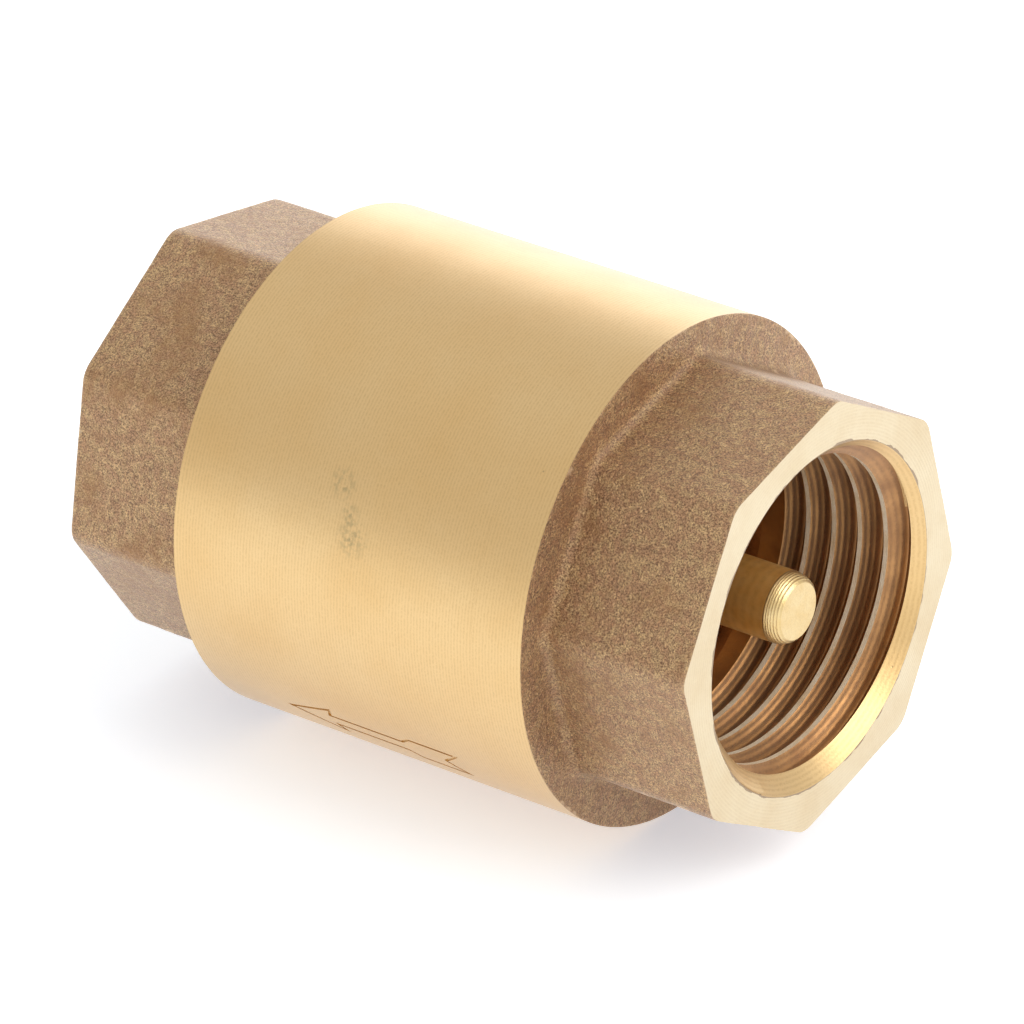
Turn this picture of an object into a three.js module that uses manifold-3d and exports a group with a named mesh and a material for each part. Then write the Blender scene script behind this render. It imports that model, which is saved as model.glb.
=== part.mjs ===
// An inline spring check valve with female G 1/2 pipe threads, in millimetres.
// The bore runs along X. Water enters the socket at +X and leaves the socket at -X. Z is up.
// The origin is the middle of the bore, halfway along the valve.
import * as THREE from "three";
import { mergeVertices } from "three/addons/utils/BufferGeometryUtils.js";
import Module from "manifold-3d";

const wasm = await Module();
wasm.setup();

// Outside
const overallLength = 44.4;
const barrelDiameter = 30.5;
const barrelLength = 25;
const acrossFlats = 24.6;
const octagonCornerRadius = 1;
const inletCornerTurn = 39.5; // degrees from +Y towards +Z to the first corner
const outletCornerTurn = 13.8;
const capFlangeThickness = 3.5;

// Pipe sockets: the G 1/2 parallel pipe thread
const threadMajorDiameter = 20.955;
const threadPitch = 1.814;
const threadDepth = 1.162;
const threadFlankAngle = 27.5; // degrees, half of the 55 degree thread form
const threadLength = 8.4; // from the mouth to where the thread has run out
const threadRunOutTurns = 0.75;
const inletThreadTurn = 225; // degrees of turn that set where the groove crosses the mouth
const outletThreadTurn = 80;
const mouthDiameter = 21;
const reliefDiameter = 21.8;
const reliefWidth = 1.7;
const reliefSetback = 1; // from the end of the barrel to the relief groove

// Webs, seat and the chamber between them
const webThickness = 2;
const inletPortDiameter = 13.2;
const outletPortDiameter = 15.2;
const seatLipWidth = 1;
const seatLipHeight = 0.8;
const bodyWall = 2.25; // round the cap's skirt
const chamberStep = 0.6; // from the skirt's bore out to the chamber's
const skirtWall = 1.7;
const skirtLength = 7;
const skirtSpigotDepth = 0.5; // empty length past the skirt's end
const capThreadGap = 0.3; // the cap's thread is drawn as a plain fit with this gap

// Seal between cap and body
const ringSection = 1.3;
const ringGrooveWidth = 1.6;
const ringGrooveSetback = 0.2; // from the flange to the groove
const ringGap = 0.025;

// Guides
const guideArms = 3;
const guideHubDiameter = 6.8;
const inletGuideRingWidth = 1;
const inletGuideThickness = 1.2;
const inletGuideHubLength = 3.55;
const inletGuideArmWidth = 2;
const inletGuideRecess = 1; // depth of the step that holds the inlet guide
const outletGuideRingWidth = 3.4;
const outletGuideThickness = 1.4;
const outletGuideArmWidth = 2.4;
const outletHubTail = 1.85; // how far the outlet hub reaches into its port

// Poppet: stem, washer, seal, disc and nut
const stemDiameter = 4.3;
const stemChamfer = 0.37;
const stemChamferLength = 1;
const stemRecess = 1.55; // from the inlet mouth to the end of the stem
const stemTailLength = 3.9; // past the outlet hub
const collarDiameter = 6;
const collarThickness = 0.75;
const washerDiameter = 10.4;
const washerThickness = 0.8;
const sealThickness = 2.05;
const sealOverlap = 0.7; // the seal's radius past the seat lip
const discThickness = 1.85;
const discRimWidth = 0.5;
const discRimHeight = 1;
const nutAcrossFlats = 7;
const nutThickness = 2.15;
const nutCornerRadius = 0.3;
const liftTravel = 4; // the nut meets the outlet hub after this

// Spring
const springWire = 0.8;
const springTurns = 5.5;
const springClosedTurns = 1; // at each end
const springClosedPitch = 0.85;

// Engraved flow arrow
const arrowLength = 13;
const arrowHeadLength = 3.9;
const arrowHeadWidth = 3.1;
const arrowWingSweep = 0.35;
const arrowShaftWidth = 1.3;
const arrowTailLength = 4.4;
const arrowTailWidth = 2.5;
const arrowTailFlare = 0.7;
const arrowNotch = 1.3;
const arrowLineWidth = 0.22;
const arrowDepth = 0.12;
const arrowTurn = 220.4; // degrees from +Y towards +Z
const arrowCentre = -0.65;

// Fits
const faceGap = 0.02; // between machined faces that meet
const restGap = 0.05; // between parts that rest on each other
const slidingGap = 0.05; // radial, between the stem and what it passes through
const guideGap = 0.1; // radial, round a guide ring
const sealGap = 0.05; // radial, between the seal and the disc's rim
const springNutGap = 0.46; // radial, between the spring and the corners of the nut that centres it

// Fineness
const roundSegments = 40;
const smallRoundSegments = 24;
const ringSectionSegments = 8;
const threadSegments = 24;
const springSegments = 14;
const springWireSegments = 8;
const overcut = 1; // how far a cutting solid passes the face that it opens

// Places along X
const mouthX = overallLength / 2;
const barrelEndX = barrelLength / 2;
const seamX = barrelEndX - capFlangeThickness;
const reliefOuterX = barrelEndX - reliefSetback;
const reliefInnerX = reliefOuterX - reliefWidth;
const webInnerX = reliefInnerX - webThickness;
const seatX = webInnerX - seatLipHeight;
const skirtEndX = seamX - skirtLength;
const chamberEndX = skirtEndX - skirtSpigotDepth;
const guideSeatX = reliefInnerX - inletGuideRecess;
const sealFrontX = seatX - restGap;
const washerBackX = sealFrontX + 2 * restGap;
const collarBackX = washerBackX + washerThickness;
const sealBackX = sealFrontX - sealThickness;
const discFrontX = sealBackX - restGap;
const discBackX = discFrontX - discThickness;
const nutFrontX = discBackX - restGap;
const nutBackX = nutFrontX - nutThickness;
const outletGuideBackX = -webInnerX + restGap;
const outletGuideFrontX = outletGuideBackX + outletGuideThickness;
const outletHubFrontX = nutBackX - liftTravel;
const outletHubBackX = outletGuideBackX - outletHubTail;
const stemInletX = mouthX - stemRecess;
const stemOutletX = outletHubBackX - stemTailLength;
const springStartX = outletGuideFrontX + restGap;
const springEndX = discBackX - restGap;

// Radii
const barrelRadius = barrelDiameter / 2;
const boreRadius = threadMajorDiameter / 2 - threadDepth;
const counterboreRadius = barrelRadius - bodyWall;
const skirtOuterRadius = counterboreRadius - capThreadGap;
const skirtInnerRadius = skirtOuterRadius - skirtWall;
const chamberRadius = skirtInnerRadius + chamberStep;
const inletPortRadius = inletPortDiameter / 2;
const outletPortRadius = outletPortDiameter / 2;
const seatOuterRadius = inletPortRadius + seatLipWidth;
const inletGuideSeatRadius = inletPortRadius + inletGuideRingWidth;
const ringGrooveRadius = counterboreRadius - ringSection - 2 * ringGap;
const stemRadius = stemDiameter / 2;
const stemHoleRadius = stemRadius + slidingGap;
const sealRadius = seatOuterRadius + sealOverlap;
const discInnerRimRadius = sealRadius + sealGap;
const nutCornerReach = nutAcrossFlats / Math.sqrt(3);
const springRadius = nutCornerReach + springNutGap + springWire / 2; // to the middle of the wire

// A closed three.js geometry as a solid to join and cut.
function solid(geometry) {
  const bare = new THREE.BufferGeometry();
  bare.setAttribute("position", geometry.getAttribute("position"));
  if (geometry.index) bare.setIndex(geometry.index);
  const merged = mergeVertices(bare, 1e-4);
  const mesh = new wasm.Mesh({
    numProp: 3,
    vertProperties: new Float32Array(merged.attributes.position.array),
    triVerts: new Uint32Array(merged.index.array),
  });
  mesh.merge();
  return new wasm.Manifold(mesh);
}

// A solid of revolution about X. The outline is a list of [x, radius] corners.
function turned(outline, segments = roundSegments) {
  const points = outline.map(([x, radius]) => new THREE.Vector2(radius, x));
  if (THREE.ShapeUtils.area(points) < 0) points.reverse();
  points.push(points[0].clone());
  const geometry = new THREE.LatheGeometry(points, segments);
  const alongX = new THREE.Matrix4().makeBasis(
    new THREE.Vector3(0, 0, 1),
    new THREE.Vector3(1, 0, 0),
    new THREE.Vector3(0, 1, 0),
  );
  return solid(geometry.applyMatrix4(alongX));
}

// A turned rod or tube with square ends.
function sleeve(fromX, toX, outerRadius, innerRadius = 0, segments = roundSegments) {
  const outline = [
    [fromX, innerRadius],
    [toX, innerRadius],
    [toX, outerRadius],
    [fromX, outerRadius],
  ];
  return turned(outline, segments);
}

// A regular prism along X with rounded corners. The first corner stands at the given turn.
function prism(sides, flats, cornerRadius, turn, fromX, toX) {
  const halfCorner = Math.PI / sides;
  const cornerCentre = (flats / 2 - cornerRadius) / Math.cos(halfCorner);
  const outline = new THREE.Shape();
  for (let side = 0; side < sides; side++) {
    const angle = THREE.MathUtils.degToRad(turn) + 2 * halfCorner * side;
    const y = cornerCentre * Math.cos(angle);
    const z = cornerCentre * Math.sin(angle);
    outline.absarc(y, z, cornerRadius, angle - halfCorner, angle + halfCorner);
  }
  const depth = toX - fromX;
  const geometry = new THREE.ExtrudeGeometry(outline, { depth, bevelEnabled: false, curveSegments: 2 });
  const alongX = new THREE.Matrix4().makeBasis(
    new THREE.Vector3(0, 1, 0),
    new THREE.Vector3(0, 0, 1),
    new THREE.Vector3(1, 0, 0),
  );
  return solid(geometry.applyMatrix4(alongX).translate(fromX, 0, 0));
}

// The helical groove of the pipe thread in a socket that opens at mouthX, for the solid to be cut from the bore.
// Its section is a 55 degree trapezoid that reaches past the bore's wall, and rises out of the metal at the run-out.
function threadGroove(turn) {
  const flankSlope = Math.tan(THREE.MathUtils.degToRad(threadFlankAngle));
  const innerRadius = boreRadius - 0.25;
  const rootHalfWidth = (threadPitch / 2 - threadDepth * flankSlope) / 2;
  const turns = threadLength / threadPitch + 1;
  const steps = Math.ceil(turns * threadSegments);
  const startX = mouthX + threadPitch;
  const positions = [];
  for (let step = 0; step <= steps; step++) {
    const along = (turns * step) / steps;
    const left = Math.min(1, (turns - along) / threadRunOutTurns);
    const depth = threadDepth * Math.sin((left * Math.PI) / 2);
    const rootRadius = boreRadius + depth - 0.02 * (1 - left);
    const mouthHalfWidth = rootHalfWidth + (rootRadius - innerRadius) * flankSlope;
    const angle = THREE.MathUtils.degToRad(turn) - 2 * Math.PI * along;
    const x = startX - threadPitch * along;
    const corners = [
      [x - mouthHalfWidth, innerRadius],
      [x - rootHalfWidth, rootRadius],
      [x + rootHalfWidth, rootRadius],
      [x + mouthHalfWidth, innerRadius],
    ];
    for (const [cornerX, radius] of corners)
      positions.push(cornerX, radius * Math.cos(angle), radius * Math.sin(angle));
  }
  const index = [];
  for (let step = 0; step < steps; step++)
    for (let corner = 0; corner < 4; corner++) {
      const a = 4 * step + corner;
      const b = 4 * step + ((corner + 1) % 4);
      index.push(a, b, a + 4, b, b + 4, a + 4);
    }
  const last = 4 * steps;
  index.push(0, 2, 1, 0, 3, 2);
  index.push(last, last + 1, last + 2, last, last + 2, last + 3);
  const geometry = new THREE.BufferGeometry();
  geometry.setAttribute("position", new THREE.Float32BufferAttribute(positions, 3));
  geometry.setIndex(index);
  return solid(geometry);
}

// The hollow of a socket that opens at mouthX: chamfered mouth, bore and relief groove.
function socketHollow() {
  const outline = [
    [reliefInnerX, 0],
    [reliefInnerX, reliefDiameter / 2],
    [reliefOuterX, reliefDiameter / 2],
    [reliefOuterX, boreRadius],
    [mouthX - (mouthDiameter / 2 - boreRadius), boreRadius],
    [mouthX + overcut, mouthDiameter / 2 + overcut],
    [mouthX + overcut, 0],
  ];
  return turned(outline);
}

// The same solid at the other end of the valve, turned half round about Z.
function atOutlet(shape) {
  return shape.rotate([0, 0, 180]);
}

// Corners of the flow arrow's outline, as [along the flow, across it], from its middle.
function arrowOutline() {
  const tip = arrowLength / 2;
  const neck = tip - arrowHeadLength;
  const tailStart = arrowTailLength - tip;
  const upperSide = [
    [tip, 0],
    [neck, arrowHeadWidth / 2],
    [neck + arrowWingSweep, arrowShaftWidth / 2],
    [tailStart, arrowShaftWidth / 2],
    [tailStart - arrowTailFlare, arrowTailWidth / 2],
    [-tip, arrowTailWidth / 2],
    [arrowNotch - tip, 0],
  ];
  const lowerSide = upperSide
    .slice(1, -1)
    .reverse()
    .map(([along, across]) => [along, -across]);
  return upperSide.concat(lowerSide);
}

// Straight cuts along the arrow's outline, standing on the barrel's surface.
function arrowCuts() {
  const corners = arrowOutline();
  let cuts = null;
  corners.forEach(([along, across], i) => {
    const [nextAlong, nextAcross] = corners[(i + 1) % corners.length];
    const length = Math.hypot(nextAlong - along, nextAcross - across);
    const line = new THREE.BoxGeometry(length + arrowLineWidth, arrowLineWidth, 2 * overcut);
    line.rotateZ(Math.atan2(nextAcross - across, nextAlong - along));
    line.translate((along + nextAlong) / 2, (across + nextAcross) / 2, 0);
    cuts = cuts ? cuts.add(solid(line)) : solid(line);
  });
  const shell = sleeve(-overallLength, overallLength, barrelRadius + overcut, barrelRadius - arrowDepth);
  return cuts
    .rotate([0, 0, 180])
    .translate([arrowCentre, 0, barrelRadius])
    .rotate([arrowTurn - 90, 0, 0])
    .intersect(shell);
}

// The main casting: barrel, outlet socket, and the chamber that opens towards the cap.
function valveBody() {
  const cavity = turned([
    [-webInnerX - webThickness - overcut, 0],
    [-webInnerX - webThickness - overcut, outletPortRadius],
    [-webInnerX, outletPortRadius],
    [-webInnerX, chamberRadius],
    [chamberEndX, chamberRadius],
    [chamberEndX, counterboreRadius],
    [seamX + overcut, counterboreRadius],
    [seamX + overcut, 0],
  ]);
  const octagonEndX = overcut - barrelEndX;
  return sleeve(-barrelEndX, seamX - faceGap, barrelRadius)
    .add(prism(8, acrossFlats, octagonCornerRadius, outletCornerTurn, -mouthX, octagonEndX))
    .subtract(atOutlet(socketHollow()))
    .subtract(atOutlet(threadGroove(outletThreadTurn)))
    .subtract(cavity)
    .subtract(arrowCuts());
}

// The end that screws into the body: flange, inlet socket, skirt, seal groove and seat.
function inletCap() {
  const cavity = turned([
    [skirtEndX - overcut, 0],
    [skirtEndX - overcut, skirtInnerRadius],
    [webInnerX, skirtInnerRadius],
    [webInnerX, seatOuterRadius],
    [seatX, seatOuterRadius],
    [seatX, inletPortRadius],
    [guideSeatX, inletPortRadius],
    [guideSeatX, inletGuideSeatRadius],
    [reliefInnerX + overcut, inletGuideSeatRadius],
    [reliefInnerX + overcut, 0],
  ]);
  const grooveEndX = seamX - ringGrooveSetback;
  const groove = sleeve(
    grooveEndX - ringGrooveWidth,
    grooveEndX,
    skirtOuterRadius + overcut,
    ringGrooveRadius,
  );
  return sleeve(seamX, barrelEndX, barrelRadius)
    .add(sleeve(skirtEndX, seamX + overcut, skirtOuterRadius))
    .add(prism(8, acrossFlats, octagonCornerRadius, inletCornerTurn, barrelEndX - overcut, mouthX))
    .subtract(socketHollow())
    .subtract(threadGroove(inletThreadTurn))
    .subtract(cavity)
    .subtract(groove);
}

// The O-ring under the cap's flange.
function bodyRing() {
  const centreX = seamX - ringGrooveSetback - ringGrooveWidth / 2;
  const centreRadius = counterboreRadius - ringGap - ringSection / 2;
  const outline = [];
  for (let i = 0; i < ringSectionSegments; i++) {
    const angle = (2 * Math.PI * i) / ringSectionSegments;
    outline.push([
      centreX + (ringSection / 2) * Math.cos(angle),
      centreRadius + (ringSection / 2) * Math.sin(angle),
    ]);
  }
  return turned(outline);
}

// The hole that the stem passes through, to be cut from a piece between two places along X.
function stemHole(fromX, toX) {
  return sleeve(fromX - overcut, toX + overcut, stemHoleRadius, 0, smallRoundSegments);
}

// A bridge that carries the stem: a ring, a hub and the arms between them.
function stemGuide({ ringOuter, ringInner, ringBackX, thickness, hubBackX, hubFrontX, armWidth }) {
  const ringFrontX = ringBackX + thickness;
  const hubRadius = guideHubDiameter / 2;
  let guide = sleeve(ringBackX, ringFrontX, ringOuter, ringInner);
  guide = guide.add(sleeve(hubBackX, hubFrontX, hubRadius, 0, smallRoundSegments));
  const armEnd = (ringOuter + ringInner) / 2;
  for (let i = 0; i < guideArms; i++) {
    const arm = new THREE.BoxGeometry(thickness, armWidth, armEnd);
    arm.translate(ringBackX + thickness / 2, 0, armEnd / 2);
    arm.rotateX((2 * Math.PI * i) / guideArms);
    guide = guide.add(solid(arm));
  }
  return guide.subtract(stemHole(hubBackX, hubFrontX));
}

function inletGuide() {
  const ringBackX = guideSeatX + restGap;
  return stemGuide({
    ringOuter: inletGuideSeatRadius - guideGap,
    ringInner: inletGuideSeatRadius - guideGap - inletGuideRingWidth,
    ringBackX,
    thickness: inletGuideThickness,
    hubBackX: ringBackX,
    hubFrontX: ringBackX + inletGuideHubLength,
    armWidth: inletGuideArmWidth,
  });
}

function outletGuide() {
  return stemGuide({
    ringOuter: chamberRadius - guideGap,
    ringInner: chamberRadius - guideGap - outletGuideRingWidth,
    ringBackX: outletGuideBackX,
    thickness: outletGuideThickness,
    hubBackX: outletHubBackX,
    hubFrontX: outletHubFrontX,
    armWidth: outletGuideArmWidth,
  });
}

// The rod that both guides carry, with the collar that the washer bears on.
function stem() {
  const tipRadius = stemRadius - stemChamfer;
  const collarRadius = collarDiameter / 2;
  const outline = [
    [stemOutletX, 0],
    [stemOutletX, tipRadius],
    [stemOutletX + stemChamferLength, stemRadius],
    [collarBackX, stemRadius],
    [collarBackX, collarRadius],
    [collarBackX + collarThickness, collarRadius],
    [collarBackX + collarThickness, stemRadius],
    [stemInletX - stemChamferLength, stemRadius],
    [stemInletX, tipRadius],
    [stemInletX, 0],
  ];
  return turned(outline, smallRoundSegments);
}

function sealWasher() {
  const frontX = collarBackX - restGap;
  return sleeve(washerBackX, frontX, washerDiameter / 2, stemHoleRadius, smallRoundSegments);
}

function discSeal() {
  return sleeve(sealBackX, sealFrontX, sealRadius, stemHoleRadius);
}

// The brass plate behind the seal, with a low rim that keeps the seal round.
function disc() {
  return turned([
    [discBackX, stemHoleRadius],
    [discFrontX, stemHoleRadius],
    [discFrontX, discInnerRimRadius],
    [discFrontX + discRimHeight, discInnerRimRadius],
    [discFrontX + discRimHeight, discInnerRimRadius + discRimWidth],
    [discBackX, discInnerRimRadius + discRimWidth],
  ]);
}

// The hexagon nut that clamps seal, disc and washer against the collar.
function stemNut() {
  const hexagon = prism(6, nutAcrossFlats, nutCornerRadius, 30, nutBackX, nutFrontX);
  return hexagon.subtract(stemHole(nutBackX, nutFrontX));
}

// The middle of the spring's wire: closed turns at both ends and open turns between.
class SpringWire extends THREE.Curve {
  getPoint(t, target = new THREE.Vector3()) {
    const along = springTurns * t;
    const openTurns = springTurns - 2 * springClosedTurns;
    const closedRise = springClosedTurns * springClosedPitch;
    const openPitch = (springEndX - springStartX - springWire - 2 * closedRise) / openTurns;
    const closedStart = Math.min(along, springClosedTurns);
    const closedEnd = Math.max(0, along - springClosedTurns - openTurns);
    const open = along - closedStart - closedEnd;
    const rise = springClosedPitch * (closedStart + closedEnd) + openPitch * open;
    const angle = 2 * Math.PI * along;
    const x = springStartX + springWire / 2 + rise;
    return target.set(x, springRadius * Math.cos(angle), springRadius * Math.sin(angle));
  }
}

function spring() {
  const section = new THREE.Shape();
  section.absarc(0, 0, springWire / 2, 0, 2 * Math.PI);
  const geometry = new THREE.ExtrudeGeometry(section, {
    steps: Math.round(springTurns * springSegments),
    extrudePath: new SpringWire(),
    curveSegments: springWireSegments / 2,
  });
  return solid(geometry);
}

const brass = { metalness: 1, roughness: 0.38, color: 0xd9b978 };
const castBrass = { metalness: 0.8, roughness: 0.7, color: 0xb08a5c };
const rodBrass = { metalness: 1, roughness: 0.25, color: 0xd2a24a };
const rubber = { metalness: 0, roughness: 0.8, color: 0x1d1d1e };
const springSteel = { metalness: 1, roughness: 0.3, color: 0xb9bcc0 };

// A named mesh of a finished solid.
function piece(name, shape, look) {
  const made = shape.getMesh();
  const geometry = new THREE.BufferGeometry();
  geometry.setAttribute("position", new THREE.Float32BufferAttribute(made.vertProperties, 3));
  geometry.setIndex(new THREE.Uint32BufferAttribute(made.triVerts, 1));
  geometry.computeVertexNormals();
  const mesh = new THREE.Mesh(geometry, new THREE.MeshStandardMaterial(look));
  mesh.name = name;
  return mesh;
}

const housing = new THREE.Group();
housing.add(
  piece("valve_body", valveBody(), brass),
  piece("inlet_cap", inletCap(), castBrass),
  piece("body_o_ring", bodyRing(), rubber),
  piece("inlet_guide", inletGuide(), brass),
  piece("outlet_guide", outletGuide(), brass),
  piece("spring", spring(), springSteel),
);

const poppet = new THREE.Group();
poppet.add(
  piece("stem", stem(), rodBrass),
  piece("seal_washer", sealWasher(), brass),
  piece("disc_seal", discSeal(), rubber),
  piece("disc", disc(), brass),
  piece("stem_nut", stemNut(), brass),
);

const valve = new THREE.Group();
valve.add(housing, poppet);

export default valve;
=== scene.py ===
import math
import bpy
from mathutils import Matrix, Vector


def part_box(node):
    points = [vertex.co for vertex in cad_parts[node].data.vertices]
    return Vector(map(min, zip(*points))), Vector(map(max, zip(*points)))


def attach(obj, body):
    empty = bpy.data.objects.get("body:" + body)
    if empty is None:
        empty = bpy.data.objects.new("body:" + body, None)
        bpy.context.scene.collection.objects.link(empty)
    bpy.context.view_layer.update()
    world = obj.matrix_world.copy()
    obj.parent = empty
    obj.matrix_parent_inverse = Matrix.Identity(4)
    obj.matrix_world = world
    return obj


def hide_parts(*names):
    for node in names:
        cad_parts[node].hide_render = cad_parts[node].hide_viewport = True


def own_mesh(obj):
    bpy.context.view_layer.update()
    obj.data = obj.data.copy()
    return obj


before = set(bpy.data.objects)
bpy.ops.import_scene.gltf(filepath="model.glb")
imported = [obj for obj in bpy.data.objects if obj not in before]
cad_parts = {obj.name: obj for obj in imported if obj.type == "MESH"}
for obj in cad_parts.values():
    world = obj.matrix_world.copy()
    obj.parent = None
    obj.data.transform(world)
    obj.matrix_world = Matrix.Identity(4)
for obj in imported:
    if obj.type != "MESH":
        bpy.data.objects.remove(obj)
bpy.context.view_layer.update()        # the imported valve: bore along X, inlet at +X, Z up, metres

mm = 0.001
weld = mm / 1000         # points nearer than this are one
print("frame loaded")


def startFresh():
    if bpy.context.object and bpy.context.object.mode == "EDIT":
        bpy.ops.object.mode_set(mode="OBJECT")
    bpy.ops.object.select_all(action="DESELECT")


def makeActive(piece):
    startFresh()
    piece.select_set(True)
    bpy.context.view_layer.objects.active = piece


# moves the mesh by a matrix and leaves its object at the origin
def applyPlace(piece, place):
    piece.matrix_world = place
    makeActive(piece)
    bpy.ops.object.transform_apply(location=True, rotation=True, scale=True)


def applyModifier(piece, kind, **settings):
    makeActive(piece)
    modifier = piece.modifiers.new(kind.lower(), kind)
    for key, value in settings.items():
        setattr(modifier, key, value)
    bpy.ops.object.modifier_apply(modifier=modifier.name)


def openEdges(piece):
    uses = {}
    for face in piece.data.polygons:
        for key in face.edge_keys:
            uses[key] = uses.get(key, 0) + 1
    return sum(1 for count in uses.values() if count != 2)


# joins or cuts two closed pieces
def cutWith(piece, tool, operation="DIFFERENCE"):
    applyModifier(piece, "BOOLEAN", object=tool, operation=operation, solver="MANIFOLD")
    if openEdges(piece) or not piece.data.polygons:
        print("open edges left in", piece.name, "by", tool.name, openEdges(piece))
    bpy.data.objects.remove(tool)


def smoothByAngle(piece, degrees=32):
    makeActive(piece)
    bpy.ops.object.shade_smooth_by_angle(angle=math.radians(degrees))


# draws a closed outline of corners in mm by extruding one vertex, and stays in edit mode
def drawOutline(corners):
    startFresh()
    bpy.ops.mesh.primitive_plane_add(size=mm)
    piece = bpy.context.object
    bpy.ops.object.mode_set(mode="EDIT")
    bpy.ops.mesh.merge(type="CENTER")
    bpy.ops.transform.translate(value=[part * mm for part in corners[0]])
    for start, end in zip(corners, corners[1:] + corners[:1]):
        if start[1:] == end[1:] == (0, 0):
            continue  # this stretch lies on the axis and makes no wall
        move = [(after - before) * mm for before, after in zip(start, end)]
        bpy.ops.mesh.extrude_region_move(TRANSFORM_OT_translate={"value": move})
    bpy.ops.mesh.select_all(action="SELECT")
    bpy.ops.mesh.remove_doubles(threshold=weld)
    return piece


def turnOutwards():  # the faces of the piece in edit mode
    bpy.ops.mesh.select_all(action="SELECT")
    bpy.ops.mesh.normals_make_consistent(inside=False)
    bpy.ops.object.mode_set(mode="OBJECT")


# an outline of [x, radius] corners in mm is drawn, its corners are rounded, and it is spun round the bore
def turnPiece(name, outline, steps=192, rounding=0.0, roundSteps=2):
    piece = drawOutline([(x, 0, radius) for x, radius in outline])
    piece.name = name
    if rounding:
        bpy.ops.mesh.bevel(
            offset=rounding * mm, segments=roundSteps, affect="VERTICES", clamp_overlap=True)
        bpy.ops.mesh.select_all(action="SELECT")
    bpy.ops.mesh.spin(steps=steps, angle=2 * math.pi, center=(0, 0, 0), axis=(1, 0, 0))
    bpy.ops.mesh.select_all(action="SELECT")
    bpy.ops.mesh.remove_doubles(threshold=weld)
    turnOutwards()
    return piece


# a prism along the bore, its first corner turned from +Y by some degrees
def makePrism(name, sides, flats, back, front, turn):
    startFresh()
    cornerRadius = flats / 2 / math.cos(math.pi / sides)
    bpy.ops.mesh.primitive_cylinder_add(
        vertices=sides, radius=cornerRadius * mm, depth=(front - back) * mm)
    piece = bpy.context.object
    piece.name = name
    alongBore = Matrix.Rotation(math.radians(turn), 4, "X") @ Matrix.Rotation(math.pi / 2, 4, "Y")
    applyPlace(piece, Matrix.Translation(((back + front) / 2 * mm, 0, 0)) @ alongBore)
    return piece


# lowest x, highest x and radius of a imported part, in mm
def reach(node):
    low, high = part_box(node)
    return low.x / mm, high.x / mm, high.y / mm


_, mouth, barrelRadius = reach("inlet_cap")
housing = {
    "mouth": mouth,             # both end faces stand this far from the middle
    "barrelEnd": 12.5,
    "barrelRadius": barrelRadius,
    "seam": 9.0,                # between the body and the cap, a hairline wide
    "bodyFace": 0.002,          # past the seam
    "capFace": 0.005,
    "flats": 24.6,              # across the octagon's flats
    "corner": 1.4,              # cast corner radius
    "inletTurn": 39.4,          # degrees from +Y to the octagon's first corner
    "outletTurn": 13.8,
    "fillet": 0.45,             # where the octagon runs into the flange
    "grain": 0.2,               # mesh size of the cast skin
    "lumps": ((3.1, 0.05), (0.75, 0.03)),  # size and height of its unevenness
    "castDepth": 1.5,           # the rough casting starts this far behind the flange's face
    "allowance": 0.6,           # metal that the lathe takes off the rough casting
    "flangeSink": 0.04,         # makes up for what the lumps add to the flange's face
    "coreEnd": 11.6,            # the plain core runs this far into the rough casting
    "coreAllowance": 0.55,
    "shoulder": 0.2,            # past the barrel's end, where the lathe's cut steps down
    "shoulderDrop": 0.9,
}
chamber = {                     # the turned inside: radii, and places along the bore
    "skirtStart": 2.0,          # the cap's skirt stands in the body's counterbore
    "skirtRadius": 12.7,
    "counterboreStart": 1.5,
    "counterboreRadius": 13.0,
    "grooveStart": 7.2,         # of the O-ring
    "grooveEnd": 8.8,
    "grooveRadius": 11.65,
    "capRadius": 11.0,
    "bodyRadius": 11.6,
    "seatFace": 7.0,
    "portRadius": 6.6,
    "portEnd": 8.8,
    "webRadius": 7.6,           # of the passage that each guide sits in
}
pipeThread = {
    "major": 20.955 / 2,
    "depth": 1.162,
    "pitch": 1.814,
    "length": 8.4,
    "flank": math.tan(math.radians(27.5)),
    "inletTurn": 225,           # degrees
    "outletTurn": 80,
    "overcut": 0.25,            # the cutter reaches this far inside the bore
    "rootDrop": 0.09,           # the groove's rounded corners
    "rootInset": 0.07,
    "fade": 0.75,               # turns over which the groove runs out
    "fadeFloor": 0.02,
}
socket = {
    "mouthRadius": 10.5,
    "bore": pipeThread["major"] - pipeThread["depth"],
    "reliefOuter": 11.5,
    "reliefInner": 9.8,
    "reliefRadius": 10.9,
    "webInner": 7.8,
}


def clampShare(value):
    return max(0.0, min(1.0, value))


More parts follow.
